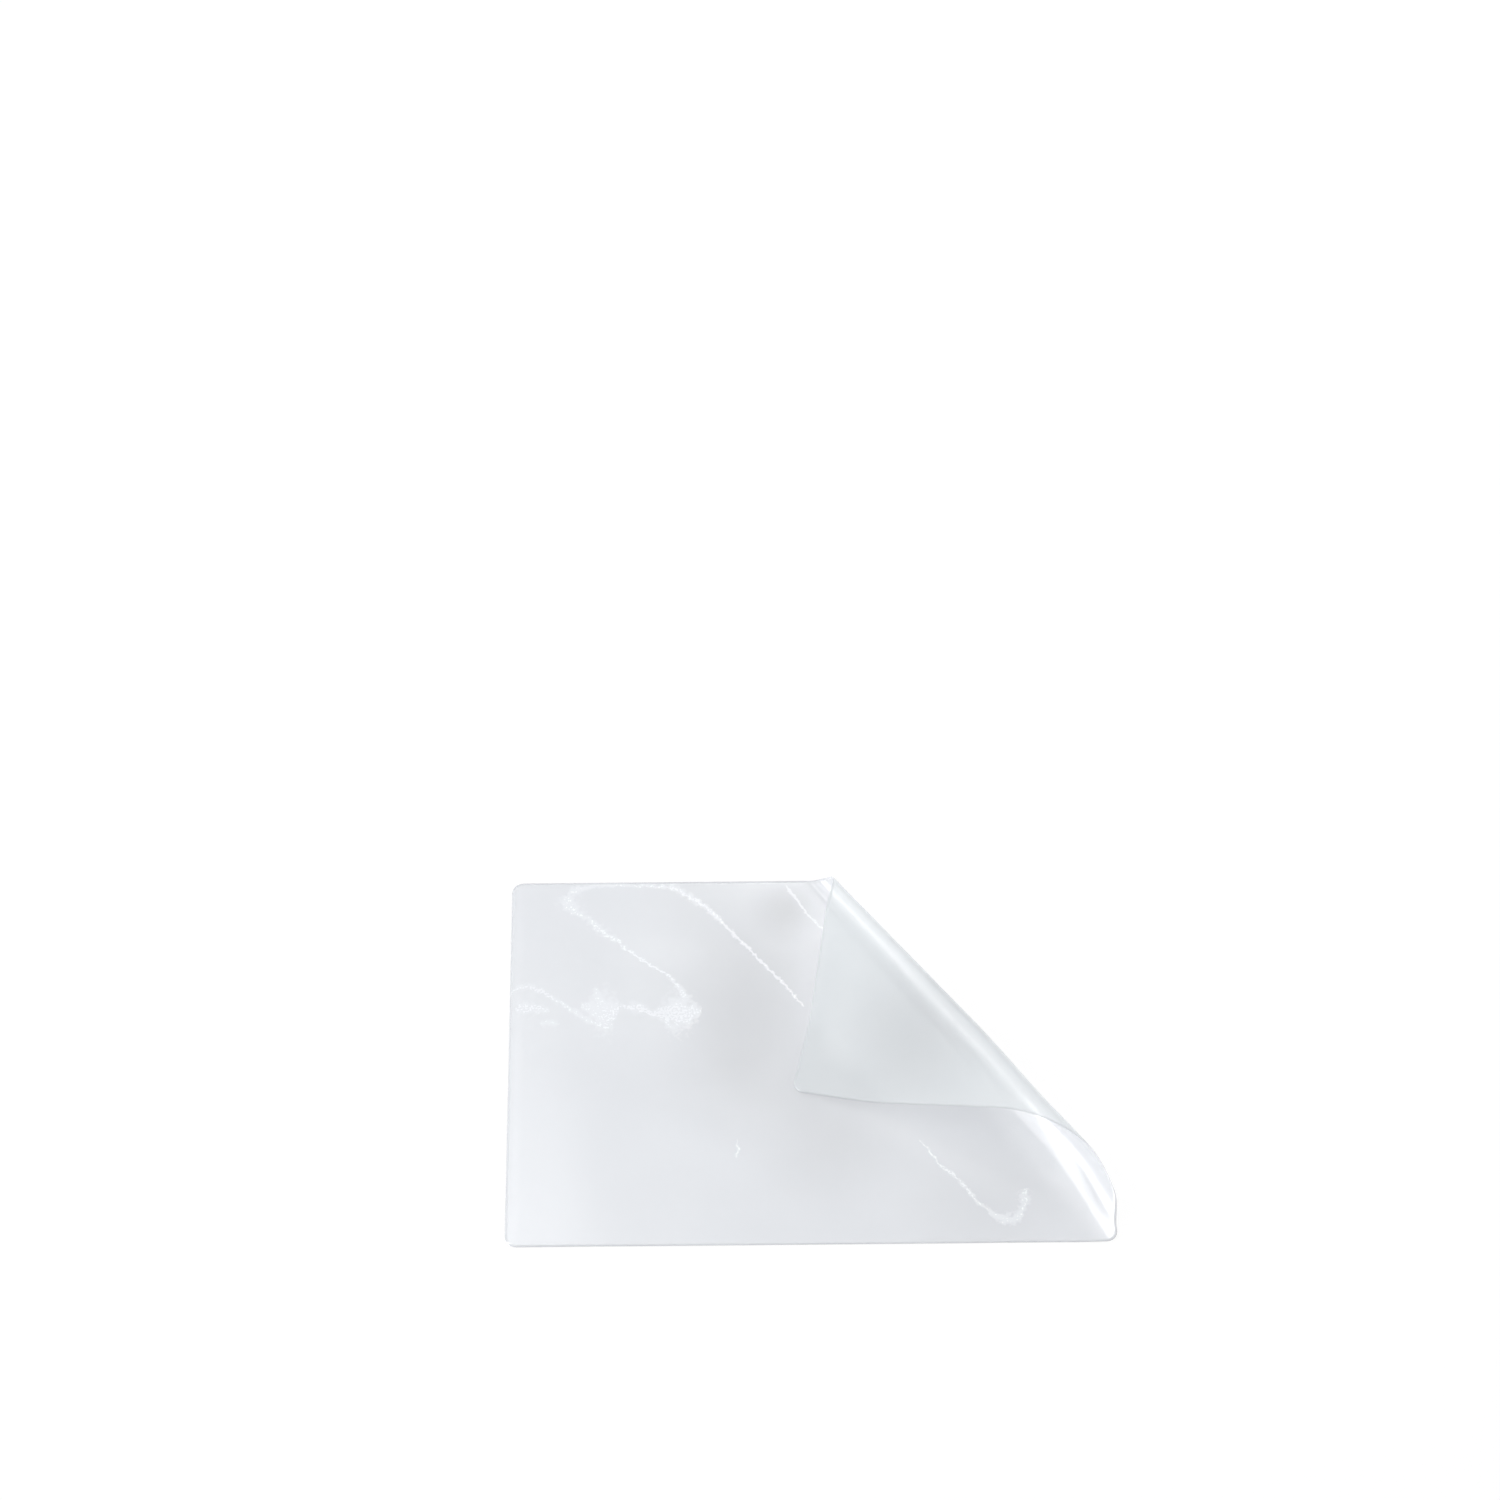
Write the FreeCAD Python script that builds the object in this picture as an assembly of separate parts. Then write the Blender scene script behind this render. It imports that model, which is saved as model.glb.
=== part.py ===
import FreeCAD, Part
import math
import os

# A4 laminating pouch: two films sealed along the left short edge, with the top right corner curled over.
# Millimetres. The flat films lie in the x, y plane with the top side up, and the curl rises in z.

os.makedirs("parts", exist_ok=True)
Vector = FreeCAD.Vector
doc = FreeCAD.newDocument("laminating_pouch")

# Sizes
sheet = doc.addObject("Spreadsheet::Sheet", "Sizes")
rows = [
    ("film_length", 303.0, "long side of the pouch, along x"),
    ("film_width", 216.0, "short side of the pouch, along y"),
    ("film_thickness", 0.125, "thickness of each film"),
    ("air_gap", 0.1, "space between the films past the seal"),
    ("seal_width", 3.0, "flat band at the left edge where the films touch"),
    ("seal_slope", 3.0, "length over which the front film rises from the seal"),
    ("corner_radius", 6.0, "radius of the four rounded corners"),
    ("curl_reach", 150.6, "from the top right corner to the start of the curl, along the top edge"),
    ("curl_direction", 54.3, "angle below the x axis of the line where the curl starts, degrees"),
    ("curl_fan", 5.9, "how much flatter that angle gets by the end of the curl, degrees"),
    ("curl_radius_first", 6.0, "radius at the top edge where the curl starts"),
    ("curl_radius_last", 16.0, "radius at the top edge where the curl ends"),
    ("flap_straight", 50.0, "straight part of the flap after the curl, along the top edge"),
    ("flap_bend", 20.0, "length of the bend that lays the flap flat, along the top edge"),
    ("flap_bend_angle", 24.0, "angle of that bend, degrees"),
    ("tip_clearance", 0.6, "space between the flap's tip and the film below it"),
]
for number, (name, value, meaning) in enumerate(rows, start=1):
    sheet.set("A%d" % number, name)
    sheet.set("B%d" % number, str(value))
    sheet.set("C%d" % number, meaning)
    sheet.setAlias("B%d" % number, name)
doc.recompute()


def size(name):
    return float(sheet.get(name))


length = size("film_length")
width = size("film_width")
thick = size("film_thickness")
gap = size("air_gap")
seal = size("seal_width")
slope = size("seal_slope")
corner = size("corner_radius")
start = length - size("curl_reach")
direction = math.radians(size("curl_direction"))
fan = math.radians(size("curl_fan"))
radius_first = size("curl_radius_first")
radius_last = size("curl_radius_last")
straight = size("flap_straight")
bend = size("flap_bend")
bend_angle = math.radians(size("flap_bend_angle"))
stack = 2 * thick + gap
tip_height = 2 * stack + size("tip_clearance")
beyond = 4.0

# The curl is a run of straight lines across the film, each with its place x on the top edge and its angle.
# The film bends a little at each line, so it keeps its flat lengths.


def line_direction(angle):
    return Vector(math.cos(angle), -math.sin(angle), 0)


def film_lines(curl_angle, steps):
    # place, angle and bend from the line before, for each line
    lines = [(start, direction, 0.0)]
    x = start
    for i in range(steps):
        middle = (i + 0.5) / steps
        angle = direction - fan * middle
        radius = radius_first + (radius_last - radius_first) * middle
        x += radius * curl_angle / steps / math.sin(angle)
        lines.append((x, direction - fan * (i + 1) / steps, curl_angle / steps))
    last = direction - fan
    for i in range(5):
        lines.append((x + straight * (i + 1) / 5, last, 0.0))
    x += straight
    for i in range(steps // 3):
        lines.append((x + bend * (i + 1) / (steps // 3), last, -bend_angle / (steps // 3)))
    x += bend
    rest = max(length + beyond - x, 4 * beyond)
    for i in range(6):
        lines.append((x + rest * (i + 1) / 6, last, 0.0))
    return lines


def bent_frames(lines):
    # for each line: where its top edge point lies, and the bent directions of x, of the line and of the top side
    turned = FreeCAD.Rotation()
    moved = Vector(0, 0, 0)
    frames = []
    x_before = lines[0][0]
    angle_before = lines[0][1]
    for x, angle, bending in lines:
        if bending:
            axis = line_direction((angle + angle_before) / 2)
            centre = Vector((x + x_before) / 2, width, 0)
            step = FreeCAD.Rotation(axis, math.degrees(bending))
            moved = moved + turned.multVec(centre - step.multVec(centre))
            turned = turned.multiply(step)
        point = turned.multVec(Vector(x, width, 0)) + moved
        ahead = turned.multVec(Vector(1, 0, 0))
        down = turned.multVec(line_direction(angle))
        top = turned.multVec(Vector(0, 0, 1))
        frames.append((x, point, ahead, down, top))
        x_before = x
        angle_before = angle
    return frames


def tip_above(curl_angle):
    frames = bent_frames(film_lines(curl_angle, 60))
    x, point, ahead, down, top = frames[-1]
    return (point + ahead * (length - x)).z - tip_height


# the curl turns until the flap's tip lies at its height over the sheet
low_turn = math.radians(181)
high_turn = math.radians(181)
while tip_above(high_turn) > 0 and high_turn < math.radians(300):
    high_turn += math.radians(2)
low_turn = high_turn - math.radians(2)
for i in range(40):
    middle_turn = (low_turn + high_turn) / 2
    if tip_above(middle_turn) > 0:
        low_turn = middle_turn
    else:
        high_turn = middle_turn
lines = film_lines(high_turn, 60)
frames = bent_frames(lines)


def line_through(point):
    # place on the top edge of the line that passes through a point of the flat film, and the distance along it
    def side(x, angle):
        return (point.x - x) * math.sin(angle) + (point.y - width) * math.cos(angle)

    x_low, angle_low = lines[0][0], lines[0][1]
    x_high, angle_high = lines[-1][0], lines[-1][1]
    for before, after in zip(lines, lines[1:]):
        if side(after[0], after[1]) <= 0:
            x_low, angle_low = before[0], before[1]
            x_high, angle_high = after[0], after[1]
            break
    low_part = 0.0
    high_part = 1.0
    for i in range(50):
        part = (low_part + high_part) / 2
        x = x_low + (x_high - x_low) * part
        angle = angle_low + (angle_high - angle_low) * part
        if side(x, angle) > 0:
            low_part = part
        else:
            high_part = part
    return x, (Vector(x, width, 0) - point).Length


def curled_surface(height, t_first, t_last):
    # spline surface straight along each line; its parameters are the line's place x and the distance t along it
    steps = len([line for line in lines if line[2] > 0])
    chosen = [i for i in range(len(frames)) if i > steps or i % 2 == 0]
    places = [frames[i][0] for i in chosen]
    turn_rate = math.sin(direction) / radius_first
    fan_rate = fan * turn_rate / high_turn
    down_rate = Vector(math.sin(direction), math.cos(direction), 0) * fan_rate
    top_rate = Vector(math.sin(direction), math.cos(direction), 0) * -turn_rate
    sides = []
    for t in (t_first, t_last):
        curve = Part.BSplineCurve()
        curve.interpolate(
            Points=[frames[i][1] + frames[i][3] * t + frames[i][4] * height for i in chosen],
            Parameters=places,
            InitialTangent=frames[0][2] + down_rate * t + top_rate * height,
            FinalTangent=frames[-1][2],
            Scale=False,
        )
        sides.append(curve)
    poles = [[sides[0].getPole(i + 1), sides[1].getPole(i + 1)] for i in range(sides[0].NbPoles)]
    surface = Part.BSplineSurface()
    surface.buildFromPolesMultsKnots(
        poles,
        sides[0].getMultiplicities(),
        [2, 2],
        sides[0].getKnots(),
        [t_first, t_last],
        False,
        False,
        3,
        1,
    )
    return surface


def film_outline():
    # rectangle with rounded corners
    c = corner
    k = c * (1 - math.sqrt(0.5))
    lines = [
        Part.makeLine(Vector(c, 0, 0), Vector(length - c, 0, 0)),
        Part.makeLine(Vector(length, c, 0), Vector(length, width - c, 0)),
        Part.makeLine(Vector(length - c, width, 0), Vector(c, width, 0)),
        Part.makeLine(Vector(0, width - c, 0), Vector(0, c, 0)),
    ]
    arcs = [
        Part.Arc(Vector(length - c, 0, 0), Vector(length - k, k, 0), Vector(length, c, 0)),
        Part.Arc(Vector(length, width - c, 0), Vector(length - k, width - k, 0), Vector(length - c, width, 0)),
        Part.Arc(Vector(c, width, 0), Vector(k, width - k, 0), Vector(0, width - c, 0)),
        Part.Arc(Vector(0, c, 0), Vector(k, k, 0), Vector(c, 0, 0)),
    ]
    edges = []
    for line, arc in zip(lines, arcs):
        edges.append(line)
        edges.append(arc.toShape())
    return Part.Face(Part.Wire(edges))


def beyond_start():
    # everything on the curled side of the start line
    origin = Vector(start, width, 0)
    along = line_direction(direction)
    away = Vector(math.sin(direction), math.cos(direction), 0)
    reach = 2 * (length + width)
    a = origin - along * reach
    b = origin + along * reach
    corners = [a, b, b + away * reach, a + away * reach]
    return Part.Face(Part.makePolygon(corners + [a]))


outline = film_outline()
flat_face = outline.cut(beyond_start()).Faces[0]
curled_face = outline.common(beyond_start()).Faces[0]


def distance_to_start(point):
    return (point.x - start) * math.sin(direction) + (point.y - width) * math.cos(direction)


def edge_samples(edge):
    # points of a flat edge as x and t, two for an edge that stays straight there
    first, last = edge.ParameterRange
    ends = [edge.valueAt(first), edge.valueAt(last)]
    along_top = max(abs(point.y - width) for point in ends) < 1e-6
    along_start = max(abs(distance_to_start(point)) for point in ends) < 1e-6
    straight_edge = edge.Curve.TypeId == "Part::GeomLine"
    if straight_edge and along_start:
        return [Vector(start, (point - Vector(start, width, 0)).Length, 0) for point in ends]
    if straight_edge and along_top:
        return [Vector(point.x, 0, 0) for point in ends]
    count = max(12, int(edge.Length / 3))
    points = [edge.valueAt(first + (last - first) * i / count) for i in range(count + 1)]
    samples = []
    for point in points:
        if abs(distance_to_start(point)) < 1e-6:
            samples.append(Vector(start, (point - Vector(start, width, 0)).Length, 0))
        elif abs(point.y - width) < 1e-6:
            samples.append(Vector(point.x, 0, 0))
        else:
            x, t = line_through(point)
            samples.append(Vector(x, t, 0))
    return samples


def anticlockwise_loop(face):
    # the face's edges in x and t, head to tail, in anticlockwise order
    edges = [edge_samples(edge) for edge in face.OuterWire.OrderedEdges]
    for i, samples in enumerate(edges):
        ends = (edges[(i + 1) % len(edges)][0], edges[(i + 1) % len(edges)][-1])
        if min((samples[-1] - end).Length for end in ends) > 1e-5:
            edges[i] = samples[::-1]
    points = [point for samples in edges for point in samples]
    area = sum(a.x * b.y - b.x * a.y for a, b in zip(points, points[1:] + points[:1]))
    if area < 0:
        edges = [samples[::-1] for samples in edges[::-1]]
    return edges


curled_edges = anticlockwise_loop(curled_face)
t_first = -2.0
t_last = max(point.y for samples in curled_edges for point in samples) + 2


def edges_on(surface):
    result = []
    for samples in curled_edges:
        flat = [FreeCAD.Base.Vector2d(point.x, point.y) for point in samples]
        if len(flat) == 2:
            curve = Part.Geom2d.Line2dSegment(flat[0], flat[1])
        else:
            curve = Part.Geom2d.BSplineCurve2d()
            curve.interpolate(flat)
        result.append(curve.toShape(surface))
    return result


def on_start_line(shape):
    return all(abs(distance_to_start(vertex.Point)) < 1e-4 for vertex in shape.Vertexes)


def film(under_at_seal, under):
    # flat part, with the step down to the seal where there is one
    low = under_at_seal
    profile = [
        Vector(-1, 0, low),
        Vector(seal, 0, low),
        Vector(seal + slope, 0, under),
        Vector(length + 1, 0, under),
        Vector(length + 1, 0, under + thick),
        Vector(seal + slope, 0, under + thick),
        Vector(seal, 0, low + thick),
        Vector(-1, 0, low + thick),
    ]
    if abs(under - low) < 1e-9:
        profile = [profile[0], profile[3], profile[4], profile[7]]
    block = Part.Face(Part.makePolygon(profile + [profile[0]])).extrude(Vector(0, width, 0))
    column = flat_face.copy()
    column.translate(Vector(0, 0, -1))
    column = column.extrude(Vector(0, 0, stack + 2))
    flat = block.common(column)
    faces = [face for face in flat.Faces if not on_start_line(face)]
    # curled part: two offset faces with the same outline, and the walls between them
    sides = []
    for height in (under, under + thick):
        surface = curled_surface(height, t_first, t_last)
        edges = edges_on(surface)
        wire = Part.Wire(edges)
        faces.append(Part.Face(surface, wire))
        sides.append(edges)
    for first, second in zip(sides[0], sides[1]):
        if on_start_line(first):
            continue
        faces.append(Part.makeRuledSurface(first, second, 1))
    sewn = Part.Compound(faces)
    sewn.sewShape()
    solid = Part.Solid(sewn.Shells[0])
    if solid.Volume < 0:
        solid.reverse()
    return solid


place = FreeCAD.Placement(Vector(-length / 2, -width / 2, 0), FreeCAD.Rotation())

# Back film: the lower one, flat on the table, on the outside of the curl
back = doc.addObject("Part::Feature", "back_film")
back.Label = "back film"
back.Shape = film(0.0, 0.0)
back.Placement = place

# Front film: the upper one, down on the back film at the seal, on the inside of the curl
front = doc.addObject("Part::Feature", "front_film")
front.Label = "front film"
front.Shape = film(thick, thick + gap)
front.Placement = place

doc.recompute()
for part in (back, front):
    if "Invalid" in part.State or "Error" in part.State:
        raise RuntimeError("not built: " + part.Label)
    if part.Shape.isNull() or not part.Shape.isValid():
        raise RuntimeError("not valid: " + part.Label)
    if len(part.Shape.Solids) != 1:
        raise RuntimeError("not one solid: " + part.Label)
    part.Shape.exportStep("parts/" + part.Name + ".step")
    box = part.Shape.optimalBoundingBox(True, False)
    print(part.Label, round(box.XLength, 2), round(box.YLength, 2), round(box.ZLength, 2), round(part.Shape.Volume, 1))
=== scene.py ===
import math
import bmesh
import bpy
import numpy as np
from mathutils import Matrix, Vector


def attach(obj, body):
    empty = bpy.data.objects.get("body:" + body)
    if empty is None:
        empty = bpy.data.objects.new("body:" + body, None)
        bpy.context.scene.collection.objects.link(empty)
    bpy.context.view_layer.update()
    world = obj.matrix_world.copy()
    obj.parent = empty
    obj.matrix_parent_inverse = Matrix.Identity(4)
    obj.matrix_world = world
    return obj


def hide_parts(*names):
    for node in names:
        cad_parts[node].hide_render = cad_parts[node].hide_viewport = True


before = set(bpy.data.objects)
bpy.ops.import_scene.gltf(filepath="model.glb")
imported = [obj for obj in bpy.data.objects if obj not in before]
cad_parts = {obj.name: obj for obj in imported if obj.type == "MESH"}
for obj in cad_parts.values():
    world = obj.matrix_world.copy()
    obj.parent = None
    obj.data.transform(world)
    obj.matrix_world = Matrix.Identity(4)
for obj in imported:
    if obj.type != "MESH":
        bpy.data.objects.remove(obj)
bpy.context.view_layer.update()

mm = 0.001
print("frame loaded", sorted(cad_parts))

# the photograph's view: a long lens, 55 degrees above the table
view = {
    "target": (-28.0, 191.6),      # point of the table at the middle of the picture, mm
    "distance": 2736.1,            # mm
    "elevation": 54.56,
    "roll": -0.43,
    "turn": -0.125,                # sideways turn of the camera about the vertical, degrees
    "lens": 124.8,
    "sensor": 36,
    "reach": 20,                   # how far it sees, in metres
}


def makeCamera(name, spec):
    elevation = math.radians(spec["elevation"])
    roll = math.radians(spec["roll"])
    away = Vector((0, -math.cos(elevation), math.sin(elevation)))
    side = Vector((1, 0, 0))
    upward = side.cross(-away)
    rolledSide = side * math.cos(roll) + upward * math.sin(roll)
    rolledUp = upward * math.cos(roll) - side * math.sin(roll)
    turn = Matrix.Rotation(math.radians(spec["turn"]), 4, "Z")
    axes = Matrix((rolledSide, rolledUp, away)).transposed().to_4x4()
    place = Vector((spec["target"][0], spec["target"][1], 0)) * mm
    data = bpy.data.cameras.new(name)
    data.lens = spec["lens"]
    data.sensor_width = spec["sensor"]
    data.clip_end = spec["reach"]
    camera = bpy.data.objects.new(name, data)
    bpy.context.scene.collection.objects.link(camera)
    stand = Matrix.Translation(place + (turn @ away) * spec["distance"] * mm)
    camera.matrix_world = stand @ turn @ axes
    bpy.context.scene.camera = camera


makeCamera("camera", view)

# the same flat sheet and the same curl as the solids have, in mm and degrees
fold = {
    "length": 303.0,
    "width": 216.0,
    "cornerRadius": 6.0,
    "start": 152.4,            # where the curl starts on the top edge
    "direction": 54.3,         # its line's angle below the x axis
    "fan": 5.9,                # how much flatter the lines get over the curl
    "firstRadius": 6.0,
    "lastRadius": 16.0,
    "straight": 50.0,          # flat part of the flap past the curl
    "bend": 20.0,              # where the flap bends back, and by how much
    "bendAngle": 24.0,
    "beyond": 120,             # past the flap's tip
    "tipHeight": 1.3,
    "turnRange": (181, 300),   # the curl's turn is looked for between these
    "tries": 40,
    "steps": 240,
    "bendSteps": 60,
}


def foldLines(spec, turn):
    # place on the top edge, angle and bend of each straight line across the film
    direction, fan = math.radians(spec["direction"]), math.radians(spec["fan"])
    steps, bendSteps = spec["steps"], spec["bendSteps"]
    lines = [(spec["start"], direction, 0.0)]
    x = spec["start"]
    for i in range(steps):
        middle = (i + 0.5) / steps
        radius = spec["firstRadius"] + (spec["lastRadius"] - spec["firstRadius"]) * middle
        x += radius * turn / steps / math.sin(direction - fan * middle)
        lines.append((x, direction - fan * (i + 1) / steps, turn / steps))
    last = direction - fan
    x += spec["straight"]
    lines.append((x, last, 0.0))
    bending = -math.radians(spec["bendAngle"]) / bendSteps
    for i in range(bendSteps):
        lines.append((x + spec["bend"] * (i + 1) / bendSteps, last, bending))
    lines.append((x + spec["bend"] + spec["beyond"], last, 0.0))
    return lines


def foldFrames(spec, lines):
    # each line's bent top end, and the bent directions of the line, of the film's top side
    # and of the film's length
    turned, moved = np.eye(3), np.zeros(3)
    frames = []
    before = lines[0]
    for x, angle, bending in lines:
        if bending:
            middle = (angle + before[1]) / 2
            axis = np.array([math.cos(middle), -math.sin(middle), 0])
            cross = np.array([[0, -axis[2], axis[1]], [axis[2], 0, -axis[0]], [-axis[1], axis[0], 0]])
            step = np.eye(3) + math.sin(bending) * cross + (1 - math.cos(bending)) * cross @ cross
            centre = np.array([(x + before[0]) / 2, spec["width"], 0])
            moved = moved + turned @ (centre - step @ centre)
            turned = turned @ step
        point = turned @ np.array([x, spec["width"], 0]) + moved
        down = turned @ np.array([math.cos(angle), -math.sin(angle), 0])
        topSide, lengthwise = turned @ np.array([0, 0, 1.0]), turned @ np.array([1.0, 0, 0])
        frames.append(np.concatenate([point, down, topSide, lengthwise]))
        before = (x, angle)
    return np.array(frames)


def solveFold(spec):
    # the curl turns until the tip lies at its height over the sheet
    low, high = (math.radians(angle) for angle in spec["turnRange"])
    for i in range(spec["tries"]):
        turn = (low + high) / 2
        lines = foldLines(spec, turn)
        last = foldFrames(spec, lines)[-1]
        tip = last[2] + last[11] * (spec["length"] - lines[-1][0])
        if tip > spec["tipHeight"]:
            low = turn
        else:
            high = turn
    return np.array([line[:2] for line in lines]), foldFrames(spec, lines)


foldPlaces, foldAxes = solveFold(fold)


def bendSheet(points, heights, batch=20000):
    # flat film points in mm and their heights over the underside, to bent points around the origin
    x, y = points[:, 0], points[:, 1]
    places, angles = foldPlaces[:, 0], foldPlaces[:, 1]
    result = np.empty((len(points), 3))
    for start in range(0, len(points), batch):
        part = slice(start, start + batch)
        down = y[part, None] - fold["width"]
        side = (x[part, None] - places) * np.sin(angles) + down * np.cos(angles)
        passed = np.cumprod(side > 0, axis=1).sum(1)
        flat = passed == 0
        k = np.clip(passed, 1, len(places) - 1)
        rows = np.arange(len(k))
        near, far = side[rows, k - 1], side[rows, k]
        share = np.clip(near / np.maximum(near - far, 1e-9), 0, 1)
        place = places[k - 1] + (places[k] - places[k - 1]) * share
        along = np.hypot(x[part] - place, y[part] - fold["width"])
        axes = foldAxes[k - 1] + (foldAxes[k] - foldAxes[k - 1]) * share[:, None]
        bent = axes[:, 0:3] + axes[:, 3:6] * along[:, None] + axes[:, 6:9] * heights[part, None]
        bent[flat] = np.stack([x[part], y[part], heights[part]], 1)[flat]
        result[part] = bent
    result[:, 0] -= fold["length"] / 2
    result[:, 1] -= fold["width"] / 2
    return result


# the two films
films = {
    "cell": 1.5,               # mm between the sheet's vertices
    "thickness": 0.125,
    "airGap": 0.1,
    "sealGap": 0.02,           # keeps the two sealed faces from flickering through each other
    "seal": 3.0,
    "sealSlope": 3.0,
    "waves": [                 # soft swells: centre, size across and along, turn, height in mm
        (60, 150, 50, 22, 20, 0.5),
        (110, 60, 70, 20, -25, 0.4),
        (215, 40, 60, 16, -40, 0.35),
        (35, 60, 26, 60, 5, 0.35),
        (140, 120, 24, 60, 10, 0.3),
        (262, 206, 26, 9, 0, -0.9),
        (288, 190, 12, 12, 0, 0.5),
    ],
    "rise": {                  # just before the curl's lower end
        "before": 22.0,        # mm before the curl's first line, and past it
        "after": 10.0,
        "slope": 0.15,
        "fade": (75, 125),     # it fades out between these heights on the film
        "gone": (15, 60),      # and between these distances past the first line
    },
    "tighter": {               # the curl's lower end
        "from": 262.0,         # it sets in here and is full at the film's right edge
        "amount": 5.5,         # mm that the film is further round the curl
        "ramp": 12.0,          # mm past the first line over which that sets in
        "fade": (45, 110),     # it fades out between these heights on the film
        "sooner": 10.0,        # mm that the curl starts sooner
        "soonerFade": (0, 62),
    },
}


def smooth(value, low, high):
    share = np.clip((value - low) / (high - low), 0, 1)
    return share * share * (3 - 2 * share)


def pastStart(x, y):
    # distance past the curl's first line, in mm
    direction = math.radians(fold["direction"])
    return (x - fold["start"]) * math.sin(direction) + (y - fold["width"]) * math.cos(direction)


def tighten(x, y):
    # towards its free lower end the curl starts a little sooner and turns a little tighter
    spec = films["tighter"]
    edge = smooth(x, spec["from"], fold["length"])
    sooner = spec["sooner"] * edge * (1 - smooth(y, *spec["soonerFade"]))
    tighter = spec["amount"] * edge * (1 - smooth(y, *spec["fade"]))
    tighter *= smooth(pastStart(x, y), 0, spec["ramp"])
    return x + sooner + tighter, sooner


def swell(x, y):
    # the film never lies quite flat: low swells, and a gentle rise just before the curl's lower end
    past = pastStart(x, y)
    spec = films["rise"]
    ramp = np.clip(past + spec["before"], 0, spec["before"])
    after = np.clip(past, 0, spec["after"])
    height = spec["slope"] * (ramp ** 2 / 2 / spec["before"] + after - after ** 2 / 2 / spec["after"])
    height *= (1 - smooth(y, *spec["fade"])) * (1 - smooth(past, *spec["gone"]))
    for cx, cy, across, along, turn, tall in films["waves"]:
        c, s = math.cos(math.radians(turn)), math.sin(math.radians(turn))
        u, v = (x - cx) * c + (y - cy) * s, -(x - cx) * s + (y - cy) * c
        height += tall * np.exp(-(u / across) ** 2 - (v / along) ** 2)
    return height


def roundCorners(x, y):
    # pulls the sheet's square corners in to quarter circles
    r = fold["cornerRadius"]
    insideX = np.clip(x, r, fold["length"] - r)
    insideY = np.clip(y, r, fold["width"] - r)
    u, v = x - insideX, y - insideY
    span = np.hypot(u, v)
    largest = np.maximum(np.abs(u), np.abs(v))
    scale = np.where(span > 1e-9, largest / np.maximum(span, 1e-9), 1.0)
    return insideX + u * scale, insideY + v * scale


def makeFilm(name, node, heightOf, outside):
    # a fine grid, its corners rounded, bent through the curl, and given its thickness;
    # its outer face takes the first material and its inner face the second
    length, width = fold["length"], fold["width"]
    across, up = round(length / films["cell"]), round(width / films["cell"])
    mesh = bpy.data.meshes.new(name)
    sheet = bmesh.new()
    bmesh.ops.create_grid(sheet, x_segments=across, y_segments=up, size=0.5)
    bmesh.ops.scale(sheet, vec=(length, width, 1), verts=sheet.verts)
    bmesh.ops.translate(sheet, vec=(length / 2, width / 2, 0), verts=sheet.verts)
    flat = np.array([vert.co[:2] for vert in sheet.verts])
    x, y = roundCorners(flat[:, 0], flat[:, 1])
    uv = sheet.loops.layers.uv.new("film")
    for face in sheet.faces:
        face.smooth = True
        if outside < 0:
            face.normal_flip()
        for loop in face.loops:
            i = loop.vert.index
            loop[uv].uv = (x[i] / length, y[i] / length)
    along, sooner = tighten(x, y)
    bent = bendSheet(np.stack([along, y], 1), heightOf(x, y))
    bent[:, 0] -= sooner       # the flat part stays where it is
    bent *= mm
    for vert, place in zip(sheet.verts, bent):
        vert.co = place
    sheet.to_mesh(mesh)
    sheet.free()
    film = bpy.data.objects.new(name, mesh)
    bpy.context.scene.collection.objects.link(film)
    thicken = film.modifiers.new("thickness", "SOLIDIFY")
    thicken.thickness = films["thickness"] * mm
    thicken.offset = 0
    thicken.material_offset = 1
    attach(film, "root")
    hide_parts(node)
    return film


def backHeight(x, y):
    return films["thickness"] / 2 + swell(x, y)


def frontHeight(x, y):
    # down on the back film at the seal, then up over the air gap
    lift = np.clip((x - films["seal"]) / films["sealSlope"], 0, 1)
    gap = films["sealGap"] + (films["airGap"] - films["sealGap"]) * lift
    return films["thickness"] * 1.5 + gap + swell(x, y)


backFilm = makeFilm("backFilm", "back_film", backHeight, -1)
frontFilm = makeFilm("frontFilm", "front_film", frontHeight, 1)
print("films made", len(frontFilm.data.vertices))

# what the film's faces look like, and how much of what lies behind them they hide
filmLook = {
    "frontOutside": {
        "colour": (0.60, 0.627, 0.675), "alpha": 0.55,
        "roughness": 0.12, "ior": 2.0, "specular": 0.7,
    },
    "backOutside": {
        "colour": (0.55, 0.592, 0.61), "alpha": 0.52,
        "roughness": 0.34, "ior": 1.9, "specular": 0.7,
    },
    "inside": {
        "colour": (0.71, 0.725, 0.755), "alpha": 0.42,
        "roughness": 0.55, "ior": 1.5, "specular": 0.4,
    },
}
seeThrough = {
    "blend": 0.5,
    "edgeFrom": 0.6,           # how far the film has to turn from the eye to look denser
    "edgeAlpha": 0.8,          # its alpha seen edge on
    "shadow": 0.5,             # share of the alpha that shadows and reflections meet
}
hazeAndPaintedShade = {
    "layers": ((0.018, 0.05), (0.9, 0.05)),   # noise per mm, and what it adds to the roughness
    "contrast": (0.3, 0.7),                   # part of the noise that counts
    # painted shade: wide soft patches where the film's colour is darkened, around the curl and on the flap:
    # centre, radius, share
    "paintedShade": {
        "frontOutside": (
            (142, 199, 26, 0.34), (122, 158, 62, 0.28), (120, 104, 56, 0.26),
            (162, 62, 54, 0.20), (95, 205, 45, 0.12), (235, 18, 50, 0.10),
        ),
        "backOutside": ((266, 156, 60, 0.30),),
    },
}
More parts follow.
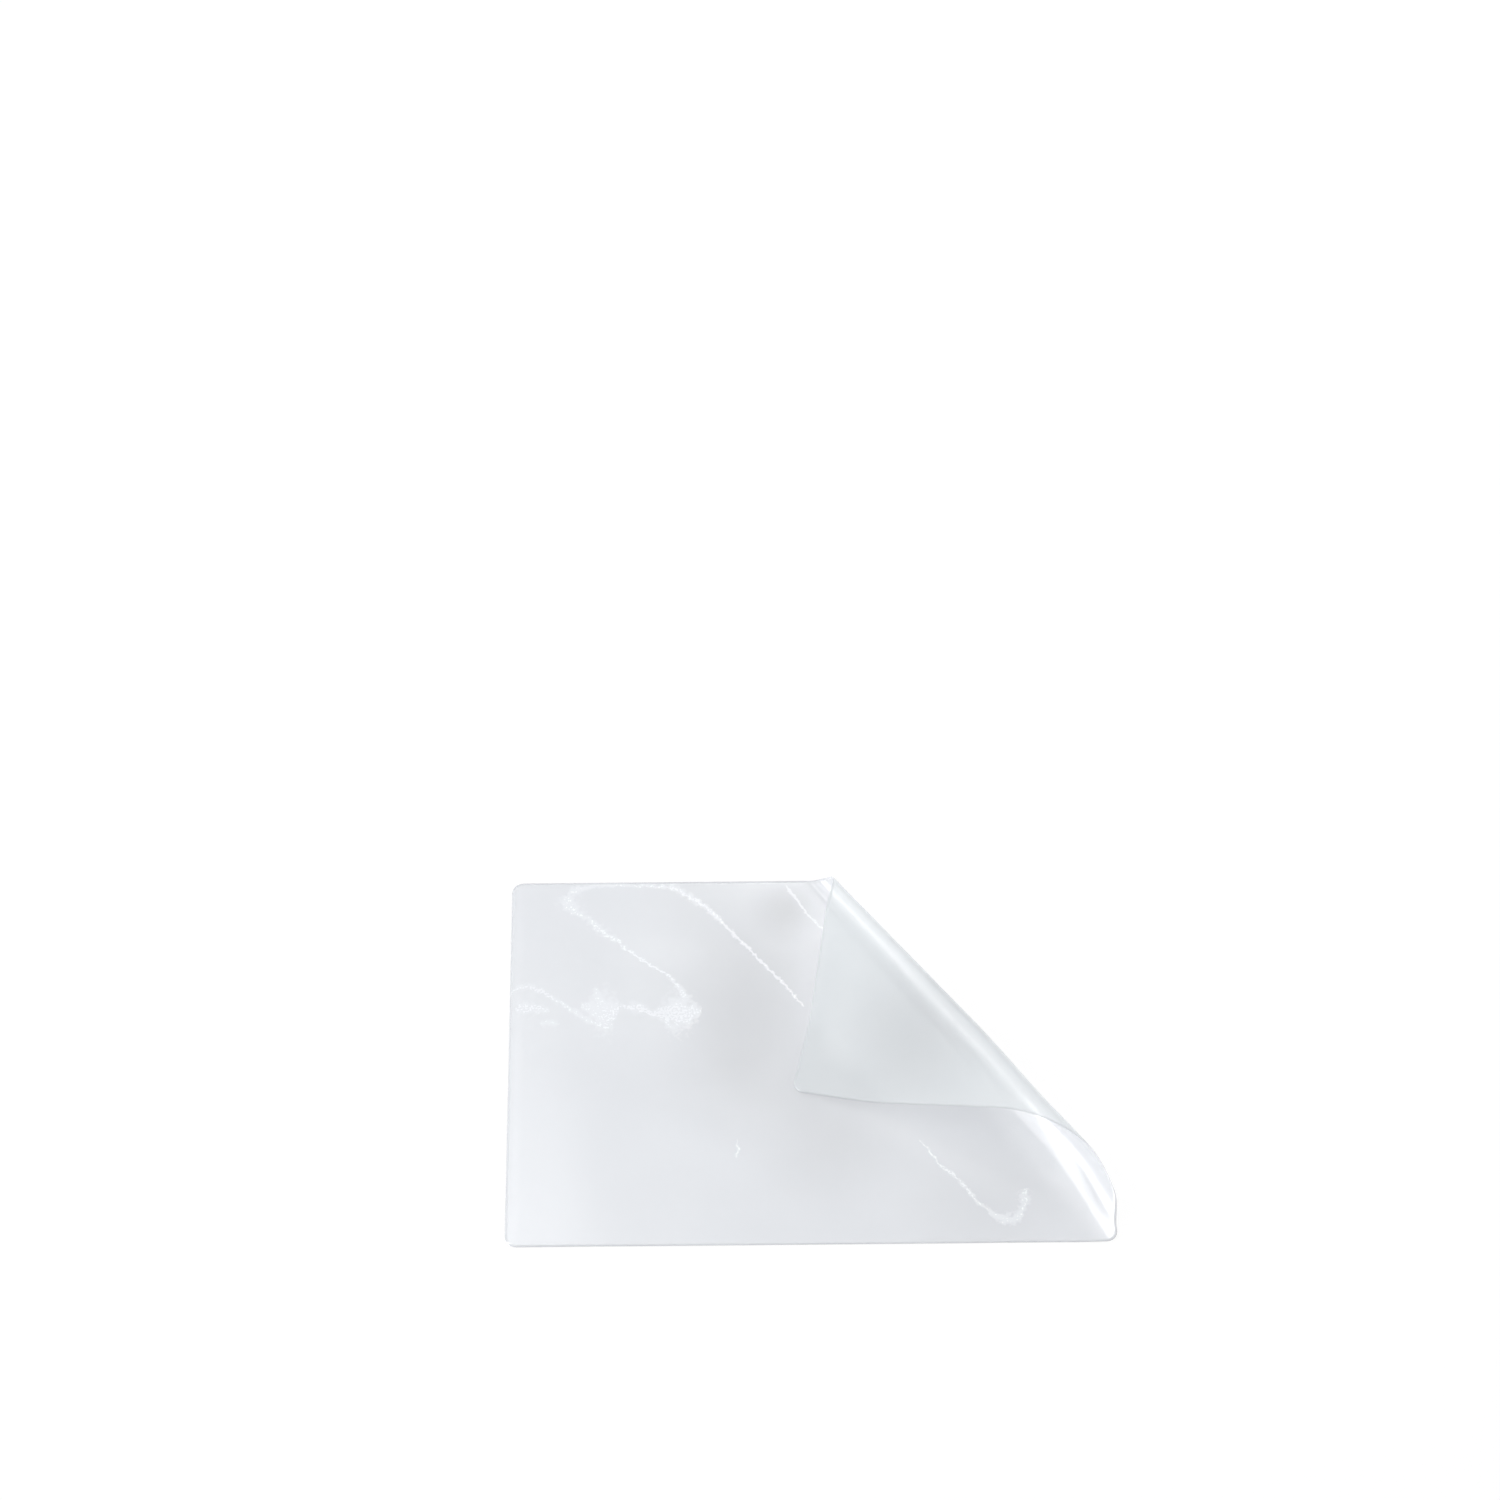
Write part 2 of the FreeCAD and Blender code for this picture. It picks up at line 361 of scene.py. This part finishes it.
markLook = {
    # painted reflection: the lighter colour along the marks stands in for the lamps' reflection
    "colour": (0.645, 0.675, 0.73),
    "roughness": 0.22,
    "width": 1.3,              # all half widths are multiplied by this
    "rim": (1.9, 0.3),         # half widths from the centre line where a mark ends and is full
    "wander": 1.8,             # mm that noise may move it to each side
    "wanderScale": 0.3,        # noise per mm
    "frayScale": 0.38,
    "frayContrast": (0.36, 0.62),
    "fray": (0.55, 1.5),       # noise narrows and widens it between these
    "detail": 3,
    "spare": 2,                # mm of room over and under the points of a mark's curve
    "spareWidth": 1.1,
}

# faint marks on the glossy face: rougher where the film has been flexed, and lighter in colour as a painted
# reflection of the lamps:
# what runs along them, then place along, place across and half width of each point, in mm from the lower
# left corner
marks = {
    "loopRight": ("x", (
        (79, 213.3, 0.7), (84.6, 211.5, 0.9), (91, 207.2, 1.3), (96.3, 203.3, 1.2),
        (102.6, 197.4, 1.1), (112.1, 185.9, 0.9), (121.6, 174.4, 0.8), (139.3, 152.8, 0.7),
        (149, 139.5, 0.6))),
    "loopTop": ("x", (
        (28.5, 206.5, 1.5), (31.2, 210.6, 1.5), (38.7, 213.2, 0.9), (48.3, 214.1, 0.6),
        (63.2, 214, 0.5), (79, 213.3, 0.7))),
    "loopLeft": ("y", (
        (144.6, 89.3, 2.0), (149.6, 86.7, 1.3), (157.2, 81.4, 0.9), (162.9, 74, 0.9),
        (171.2, 63.4, 0.9), (178.9, 54.9, 1.1), (186, 46.4, 2.2), (192.4, 41, 1.6),
        (196.3, 35.6, 2.0), (199.5, 31.3, 2.9), (204.7, 28.9, 2.6), (208.5, 29.8, 1.4))),
    "blotchRight": ("x", (
        (74, 135.4, 0.9), (79, 136, 4.2), (84.6, 135.5, 6.2), (90, 136, 5.2), (97.5, 137, 1.0))),
    "link": ("x", (
        (56, 140.2, 0.6), (60, 139.8, 1.1), (65.6, 139, 1.8), (70, 137, 1.2), (76, 135, 1.0))),
    "blotchMiddle": ("x", (
        (36, 140, 0.8), (41, 139, 3.0), (46.5, 136.5, 7.0), (51, 136, 6.4), (55.5, 140, 0.8))),
    "blotchTip": ("y", ((138, 47, 3.0), (145, 45.5, 2.0), (151.5, 43, 0.5))),
    "arc": ("x", (
        (0.8, 147.5, 0.7), (5.6, 152.2, 0.9), (14, 150.6, 1.0), (21.5, 145.6, 1.0),
        (29.9, 139.2, 1.0), (38.4, 132.7, 1.2), (50, 127.5, 1.0))),
    "blotchLeft": ("x", ((3, 139, 0.5), (8, 139.5, 2.4), (14, 138.8, 1.8), (20, 138, 0.6))),
    "speckLeft": ("x", ((15.5, 130.2, 0.4), (20, 130.6, 1.1), (25.5, 130.2, 0.4))),
    "topLine": ("x", (
        (141.1, 212.1, 0.7), (145.7, 206.4, 0.7), (150.3, 198.3, 0.7), (156.2, 190.2, 0.6),
        (161, 186, 0.5))),
    "low": ("x", (
        (206, 58.9, 0.4), (211.7, 52, 0.7), (216.1, 44.5, 0.8), (223.6, 37.6, 0.9),
        (229.8, 29.3, 1.1), (234.7, 22.6, 1.0), (241, 16.6, 1.2))),
    "hook": ("x", (
        (240, 17.2, 1.0), (244, 14.3, 1.5), (248.5, 12.8, 1.7), (253.5, 14.6, 1.9),
        (256.6, 19, 1.4))),
    "hookTop": ("y", ((17, 255.4, 1.3), (22, 257, 1.4), (26, 257.2, 1.7), (31, 257.8, 0.6))),
    "speck": ("y", ((50, 114.6, 0.25), (55, 115.4, 0.45), (60, 114.8, 0.25))),
}


def newMaterial(name):
    material = bpy.data.materials.new(name)
    material.use_nodes = True
    nodes, links = material.node_tree.nodes, material.node_tree.links
    nodes.clear()
    output = nodes.new("ShaderNodeOutputMaterial")
    shader = nodes.new("ShaderNodeBsdfPrincipled")
    links.new(shader.outputs[0], output.inputs[0])
    return material, nodes, links, shader


def sums(nodes, links, operation, *values):
    # a math node; each value is a number or another node's output
    node = nodes.new("ShaderNodeMath")
    node.operation = operation
    for socket, value in zip(node.inputs, values):
        if isinstance(value, bpy.types.NodeSocket):
            links.new(value, socket)
        else:
            socket.default_value = value
    return node.outputs[0]


def scaled(nodes, links, source, given, wanted, clamp=False, kind="LINEAR"):
    # turns the given range of values into the wanted one
    node = nodes.new("ShaderNodeMapRange")
    node.clamp = clamp
    node.interpolation_type = kind
    for socket, value in zip(("From Min", "From Max", "To Min", "To Max"), (*given, *wanted)):
        node.inputs[socket].default_value = value
    links.new(source, node.inputs["Value"])
    return node.outputs["Result"]


def noiseOn(nodes, links, place, scale):
    noise = nodes.new("ShaderNodeTexNoise")
    noise.inputs["Scale"].default_value = scale
    links.new(place, noise.inputs["Vector"])
    return noise


def newGroup(name, inputs, output):
    group = bpy.data.node_groups.new(name, "ShaderNodeTree")
    for socket, kind in inputs.items():
        group.interface.new_socket(socket, in_out="INPUT", socket_type=kind)
    group.interface.new_socket(output, in_out="OUTPUT", socket_type="NodeSocketFloat")
    nodes, links = group.nodes, group.links
    return group, nodes, links, nodes.new("NodeGroupInput").outputs, nodes.new("NodeGroupOutput")


def markGroup():
    # one mark, for its roughness and its painted reflection: strongest on its centre line, soft at its rim,
    # and nothing past its two ends
    names = ("Along", "Across", "Centre", "HalfWidth")
    inputs = {name: "NodeSocketFloat" for name in names}
    group, nodes, links, given, result = newGroup("flexAndReflectionMark", inputs, "Mask")
    apart = sums(nodes, links, "SUBTRACT", given["Across"], given["Centre"])
    ratio = sums(nodes, links, "DIVIDE", sums(nodes, links, "ABSOLUTE", apart), given["HalfWidth"])
    rim = scaled(nodes, links, ratio, markLook["rim"], (0, 1), clamp=True, kind="SMOOTHSTEP")
    middle = sums(nodes, links, "COMPARE", given["Along"], 0.5, 0.5)
    links.new(sums(nodes, links, "MULTIPLY", rim, middle), result.inputs[0])
    return group


def hazeGroup():
    # the film's gloss: duller in wide soft clouds and in a fine grain
    inputs = {"Place": "NodeSocketVector", "Roughness": "NodeSocketFloat"}
    group, nodes, links, given, result = newGroup("filmHaze", inputs, "Roughness")
    total = given["Roughness"]
    for scale, amount in hazeAndPaintedShade["layers"]:
        noise = noiseOn(nodes, links, given["Place"], scale)
        cloud = scaled(nodes, links, noise.outputs[0], hazeAndPaintedShade["contrast"], (0, amount), clamp=True)
        total = sums(nodes, links, "ADD", total, cloud)
    links.new(total, result.inputs["Roughness"])
    return group


flexAndReflectionMark = markGroup()
filmHaze = hazeGroup()


def filmPlace(nodes, links):
    # the film's own UV map, in mm from its lower left corner
    uv = nodes.new("ShaderNodeUVMap")
    uv.uv_map = "film"
    size = nodes.new("ShaderNodeVectorMath")
    size.operation = "SCALE"
    size.inputs["Scale"].default_value = fold["length"]
    links.new(uv.outputs[0], size.inputs[0])
    return size.outputs[0]


def markCurve(nodes, links, share, values, low, high):
    # a value that changes along a mark, from its place along it and its size at each point
    curve = nodes.new("ShaderNodeFloatCurve")
    line = curve.mapping.curves[0]
    points = [(place, (value - low) / (high - low)) for place, value in values]
    for point in points[1:-1]:
        line.points.new(*point)
    line.points[0].location = points[0]
    line.points[-1].location = points[-1]
    curve.mapping.update()
    links.new(share, curve.inputs["Value"])
    return curve.outputs[0]


def markMask(nodes, links, place):
    # shifted a little by noise, so that no mark is drawn with a ruler
    noise = noiseOn(nodes, links, place, markLook["wanderScale"])
    noise.inputs["Detail"].default_value = markLook["detail"]
    wander = markLook["wander"]
    shift = nodes.new("ShaderNodeVectorMath")
    shift.operation = "MULTIPLY_ADD"
    shift.inputs[1].default_value = (2 * wander, 2 * wander, 0)
    shift.inputs[2].default_value = (-wander, -wander, 0)
    links.new(noise.outputs["Color"], shift.inputs[0])
    warped = nodes.new("ShaderNodeVectorMath")
    links.new(place, warped.inputs[0])
    links.new(shift.outputs[0], warped.inputs[1])
    split = nodes.new("ShaderNodeSeparateXYZ")
    links.new(warped.outputs[0], split.inputs[0])
    frayed = noiseOn(nodes, links, place, markLook["frayScale"])
    frayed.inputs["Detail"].default_value = markLook["detail"]
    ragged = scaled(nodes, links, frayed.outputs[0], markLook["frayContrast"], markLook["fray"], clamp=True)
    total = None
    for runs, points in marks.values():
        along, across = split.outputs["X"], split.outputs["Y"]
        if runs == "y":
            along, across = across, along
        start, end = points[0][0], points[-1][0]
        share = scaled(nodes, links, along, (start, end), (0, 1))
        low = min(p[1] for p in points) - markLook["spare"]
        high = max(p[1] for p in points) + markLook["spare"]
        widest = max(p[2] for p in points) * markLook["spareWidth"]
        places = [(p[0] - start) / (end - start) for p in points]
        centre = markCurve(nodes, links, share, zip(places, (p[1] for p in points)), low, high)
        width = markCurve(nodes, links, share, zip(places, (p[2] for p in points)), 0, widest)
        fullWidth = scaled(nodes, links, width, (0, 1), (0, widest * markLook["width"]))
        mark = nodes.new("ShaderNodeGroup")
        mark.node_tree = flexAndReflectionMark
        links.new(share, mark.inputs["Along"])
        links.new(across, mark.inputs["Across"])
        links.new(scaled(nodes, links, centre, (0, 1), (low, high)), mark.inputs["Centre"])
        links.new(sums(nodes, links, "MULTIPLY", fullWidth, ragged), mark.inputs["HalfWidth"])
        one = mark.outputs[0]
        total = sums(nodes, links, "MAXIMUM", total, one) if total else one
    return total


def paintedShadeMask(nodes, links, place, patches):
    # painted shade: what is left of the film's colour, all of it outside the darkened patches
    total = None
    for x, y, radius, share in patches:
        apart = nodes.new("ShaderNodeVectorMath")
        apart.operation = "DISTANCE"
        apart.inputs[1].default_value = (x, y, 0)
        links.new(place, apart.inputs[0])
        distance = apart.outputs["Value"]
        soft = scaled(nodes, links, distance, (0, radius), (1 - share, 1), clamp=True, kind="SMOOTHSTEP")
        total = sums(nodes, links, "MULTIPLY", total, soft) if total else soft
    return total


def filmMaterial(name, look):
    # see-through film: a ray is tinted where it enters the film and not again where it leaves
    material, nodes, links, shader = newMaterial(name)
    shader.inputs["IOR"].default_value = look["ior"]
    shader.inputs["Specular IOR Level"].default_value = look["specular"]
    shader.inputs["Base Color"].default_value = (*look["colour"], 1)
    place = filmPlace(nodes, links)
    hazy = nodes.new("ShaderNodeGroup")
    hazy.node_tree = filmHaze
    hazy.inputs["Roughness"].default_value = look["roughness"]
    links.new(place, hazy.inputs["Place"])
    links.new(hazy.outputs["Roughness"], shader.inputs["Roughness"])
    # painted shade: the colour is darkened in soft patches around the curl and on the flap
    if name in hazeAndPaintedShade["paintedShade"]:
        shadedColour = nodes.new("ShaderNodeVectorMath")
        shadedColour.operation = "SCALE"
        shadedColour.inputs[0].default_value = look["colour"]
        links.new(paintedShadeMask(nodes, links, place, hazeAndPaintedShade["paintedShade"][name]), shadedColour.inputs["Scale"])
        links.new(shadedColour.outputs[0], shader.inputs["Base Color"])
    if name == "frontOutside":
        mask = markMask(nodes, links, place)
        gloss = scaled(nodes, links, mask, (0, 1), (look["roughness"], markLook["roughness"]))
        links.new(gloss, hazy.inputs["Roughness"])
        # painted reflection: the marks are also given a lighter colour, standing in for the lamps'
        # reflection in the film's ripples
        paintedReflection = nodes.new("ShaderNodeMix")
        paintedReflection.data_type = "RGBA"
        paintedReflection.inputs["B"].default_value = (*markLook["colour"], 1)
        links.new(mask, paintedReflection.inputs["Factor"])
        links.new(shadedColour.outputs[0], paintedReflection.inputs["A"])
        links.new(paintedReflection.outputs["Result"], shader.inputs["Base Color"])
    edgeOn = nodes.new("ShaderNodeLayerWeight")
    edgeOn.inputs["Blend"].default_value = seeThrough["blend"]
    edge, denser = (seeThrough["edgeFrom"], 1), (look["alpha"], seeThrough["edgeAlpha"])
    dense = scaled(nodes, links, edgeOn.outputs["Facing"], edge, denser, clamp=True)
    geometry = nodes.new("ShaderNodeNewGeometry")
    entering = scaled(nodes, links, geometry.outputs["Backfacing"], (0, 1), (1, 0))
    # most of what the eye sees on it is gloss, so its shadow is fainter than the film itself
    path = nodes.new("ShaderNodeLightPath")
    shading = scaled(nodes, links, path.outputs["Is Camera Ray"], (0, 1), (seeThrough["shadow"], 1))
    seen = sums(nodes, links, "MULTIPLY", entering, shading)
    links.new(sums(nodes, links, "MULTIPLY", dense, seen), shader.inputs["Alpha"])
    return material


inside = filmMaterial("filmInside", filmLook["inside"])
for film, name in ((frontFilm, "frontOutside"), (backFilm, "backOutside")):
    film.data.materials.append(filmMaterial(name, filmLook[name]))
    film.data.materials.append(inside)
print("materials made")

# table, lamps and world
studio = {
    "floorSize": 12.0,
    "floorDrop": 0.0001,       # keeps the table just under the film
    "floorColour": (0.95, 0.95, 0.95),
    "floorRoughness": 0.8,
    "floorGlow": 0.85,         # share of plain white that the eye and reflections see
    # direction from the sheet, distance, the long side's direction, length, width, radiance
    "lamps": {
        "left": ((-0.70, -0.09, 0.70), 2.0, (-0.56, -0.41, -0.49), 3.3, 0.5, 4.5),
        "leftHigh": ((-0.09, 0.33, 0.94), 2.0, (0.5, 0.8, 0), 0.45, 0.9, 1.35),
        "leftLow": ((-0.93, -0.30, 0.20), 2.2, (0.3, -0.95, 0), 1.6, 0.95, 5.0),
        "back": ((0.38, 0.85, 0.30), 2.2, (-0.15, -0.08, 0.42), 1.2, 0.4, 5.9),
        "backHigh": ((0.16, 0.71, 0.68), 2.2, (-0.30, -0.19, 0.28), 0.9, 0.45, 8.1),
        "high": ((-0.24, 0.48, 0.84), 2.2, (-0.39, -0.26, 0.06), 0.6, 0.6, 1.0),
        "right": ((0.90, 0.15, 0.40), 2.2, (0.15, -0.98, 0), 1.3, 0.7, 5.0),
    },
    "world": 0.415,
    "throughFilm": 32,         # see-through faces on a ray; the curl has twelve in line
}


def makeFloor(spec):
    mesh = bpy.data.meshes.new("floor")
    plane = bmesh.new()
    bmesh.ops.create_grid(plane, x_segments=1, y_segments=1, size=spec["floorSize"] / 2)
    plane.to_mesh(mesh)
    plane.free()
    floor = bpy.data.objects.new("floor", mesh)
    floor.location.z = -spec["floorDrop"]
    bpy.context.scene.collection.objects.link(floor)
    material, nodes, links, shader = newMaterial("floor")
    shader.inputs["Base Color"].default_value = (*spec["floorColour"], 1)
    shader.inputs["Roughness"].default_value = spec["floorRoughness"]
    # white to the eye, in gloss and through the film, and still with the film's shadow on it
    path = nodes.new("ShaderNodeLightPath").outputs
    seen = sums(nodes, links, "MAXIMUM", path["Is Camera Ray"], path["Is Glossy Ray"])
    seen = sums(nodes, links, "MAXIMUM", seen, path["Is Transmission Ray"])
    share = sums(nodes, links, "MULTIPLY", seen, spec["floorGlow"])
    glow = nodes.new("ShaderNodeEmission")
    mix = nodes.new("ShaderNodeMixShader")
    for source, socket in zip((share, shader.outputs[0], glow.outputs[0]), mix.inputs):
        links.new(source, socket)
    links.new(mix.outputs[0], nodes["Material Output"].inputs[0])
    floor.data.materials.append(material)


def areaLight(name, direction, distance, along, length, width, radiance):
    # a soft box that faces the sheet from a direction; its power comes from its size and radiance
    data = bpy.data.lights.new(name, "AREA")
    data.shape = "RECTANGLE"
    data.size, data.size_y = length, width
    data.energy = radiance * math.pi * length * width
    light = bpy.data.objects.new(name, data)
    bpy.context.scene.collection.objects.link(light)
    facing = Vector(direction).normalized()
    across = facing.cross(Vector(along)).normalized()
    axes = Matrix((across.cross(facing), across, facing)).transposed().to_4x4()
    light.matrix_world = Matrix.Translation(facing * distance) @ axes


makeFloor(studio)
for name, spec in studio["lamps"].items():
    areaLight(name, *spec)
bpy.context.scene.cycles.transparent_max_bounces = studio["throughFilm"]
world = bpy.data.worlds.new("studio")
bpy.context.scene.world = world
world.use_nodes = True
sky = world.node_tree.nodes["Background"]
sky.inputs[0].default_value = (1, 1, 1, 1)
sky.inputs[1].default_value = studio["world"]
bpy.context.scene.view_settings.view_transform = "Standard"
print("studio made")
